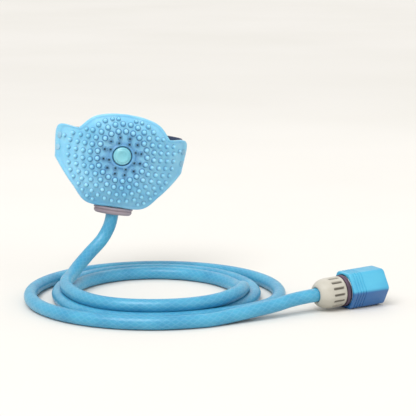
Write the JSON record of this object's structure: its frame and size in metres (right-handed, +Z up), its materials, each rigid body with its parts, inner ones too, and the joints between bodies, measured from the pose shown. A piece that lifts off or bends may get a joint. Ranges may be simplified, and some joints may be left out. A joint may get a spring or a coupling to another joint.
{
  "type": "handheld bath sprayer",
  "caption": "Hand-worn pet bath sprayer: nubbed silicone scrubbing pad with spray jets and a push-button valve, on a palm strap, with supply hose and quick-disconnect coupling.",
  "frame": {"origin": "middle of the space between the palm face and the strap, where the hand holds the head", "axes": "+Z up, -Y the way the jets spray, +X across the palm to the wing on the right of someone facing the jets"},
  "size_m": [0.3435, 0.2527, 0.1748],
  "materials": {
    "silicone": "satin translucent silicone",
    "shell": "semi-gloss moulded plastic",
    "grey_plastic": "fine satin moulded plastic",
    "white_plastic": "plain moulded plastic",
    "seal_rubber": "matte rubber",
    "steel": "stainless steel",
    "webbing": "woven nylon webbing",
    "button": "smooth moulded plastic",
    "liner": "soft laminated foam",
    "hose": "clear-jacketed braided vinyl",
    "nut": "satin moulded plastic",
    "body_plastic": "satin moulded plastic",
    "sleeve": "semi-gloss moulded plastic"
  },
  "bodies": {
    "head": {"scrubber_pad": "silicone", "housing_front": "shell", "housing_back": "shell", "spray_plate": "white_plastic", "plate_gasket": "seal_rubber", "valve_body": "white_plastic", "inlet_pipe": "white_plastic", "base_collar": "grey_plastic", "grip_liner": "liner", "housing_screw_1": "steel", "housing_screw_2": "steel", "housing_screw_3": "steel", "housing_screw_4": "steel", "ear_bracket_left": "grey_plastic", "ear_bracket_right": "grey_plastic", "strap_left": "webbing", "strap_right": "webbing", "ear_rivet_1": "steel", "ear_rivet_2": "steel", "ear_rivet_3": "steel", "ear_rivet_4": "steel", "button_spring": "steel", "hose_lead": "hose", "hose_coil": "hose", "hose_tail": "hose", "coupling_body": "body_plastic", "hose_nut": "nut", "hose_collet": "white_plastic", "spring_seat": "body_plastic", "sleeve_spring": "steel", "socket_seal": "seal_rubber"},
    "button": {"push_button": "button", "valve_plunger": "white_plastic", "plunger_seal_1": "seal_rubber", "plunger_seal_2": "seal_rubber"},
    "sleeve": {"release_sleeve": "sleeve"},
    "claw_1": {"locking_claw_1": "steel"},
    "claw_2": {"locking_claw_2": "steel"},
    "claw_3": {"locking_claw_3": "steel"},
    "claw_4": {"locking_claw_4": "steel"}
  },
  "joints": [
    {"name": "button_press", "type": "slide", "parent": "head", "child": "button", "axis": [0, 1, 0], "range_m": [0, 0.0035], "stiffness_N_per_m": 350, "springref_m": -0.006, "deforming": ["button_spring"]},
    {"name": "sleeve_slide", "type": "slide", "parent": "head", "child": "sleeve", "axis": [-0.9199, -0.3905, -0.0349], "range_m": [0, 0.005], "stiffness_N_per_m": 800, "springref_m": -0.006, "deforming": ["sleeve_spring"]},
    {"name": "claw_1_release", "type": "slide", "parent": "head", "child": "claw_1", "axis": [-0.299, 0.6413, 0.7067], "range_m": [0, 0.00085]},
    {"name": "claw_2_release", "type": "slide", "parent": "head", "child": "claw_2", "axis": [0.2536, -0.6605, 0.7067], "range_m": [0, 0.00085]},
    {"name": "claw_3_release", "type": "slide", "parent": "head", "child": "claw_3", "axis": [0.299, -0.6413, -0.7067], "range_m": [0, 0.00085]},
    {"name": "claw_4_release", "type": "slide", "parent": "head", "child": "claw_4", "axis": [-0.2536, 0.6605, -0.7067], "range_m": [0, 0.00085]}
  ],
  "couplings": [
    {"joint": "claw_1_release", "follows": "sleeve_slide", "ratio": 0.15714},
    {"joint": "claw_2_release", "follows": "sleeve_slide", "ratio": 0.15714},
    {"joint": "claw_3_release", "follows": "sleeve_slide", "ratio": 0.15714},
    {"joint": "claw_4_release", "follows": "sleeve_slide", "ratio": 0.15714}
  ]
}
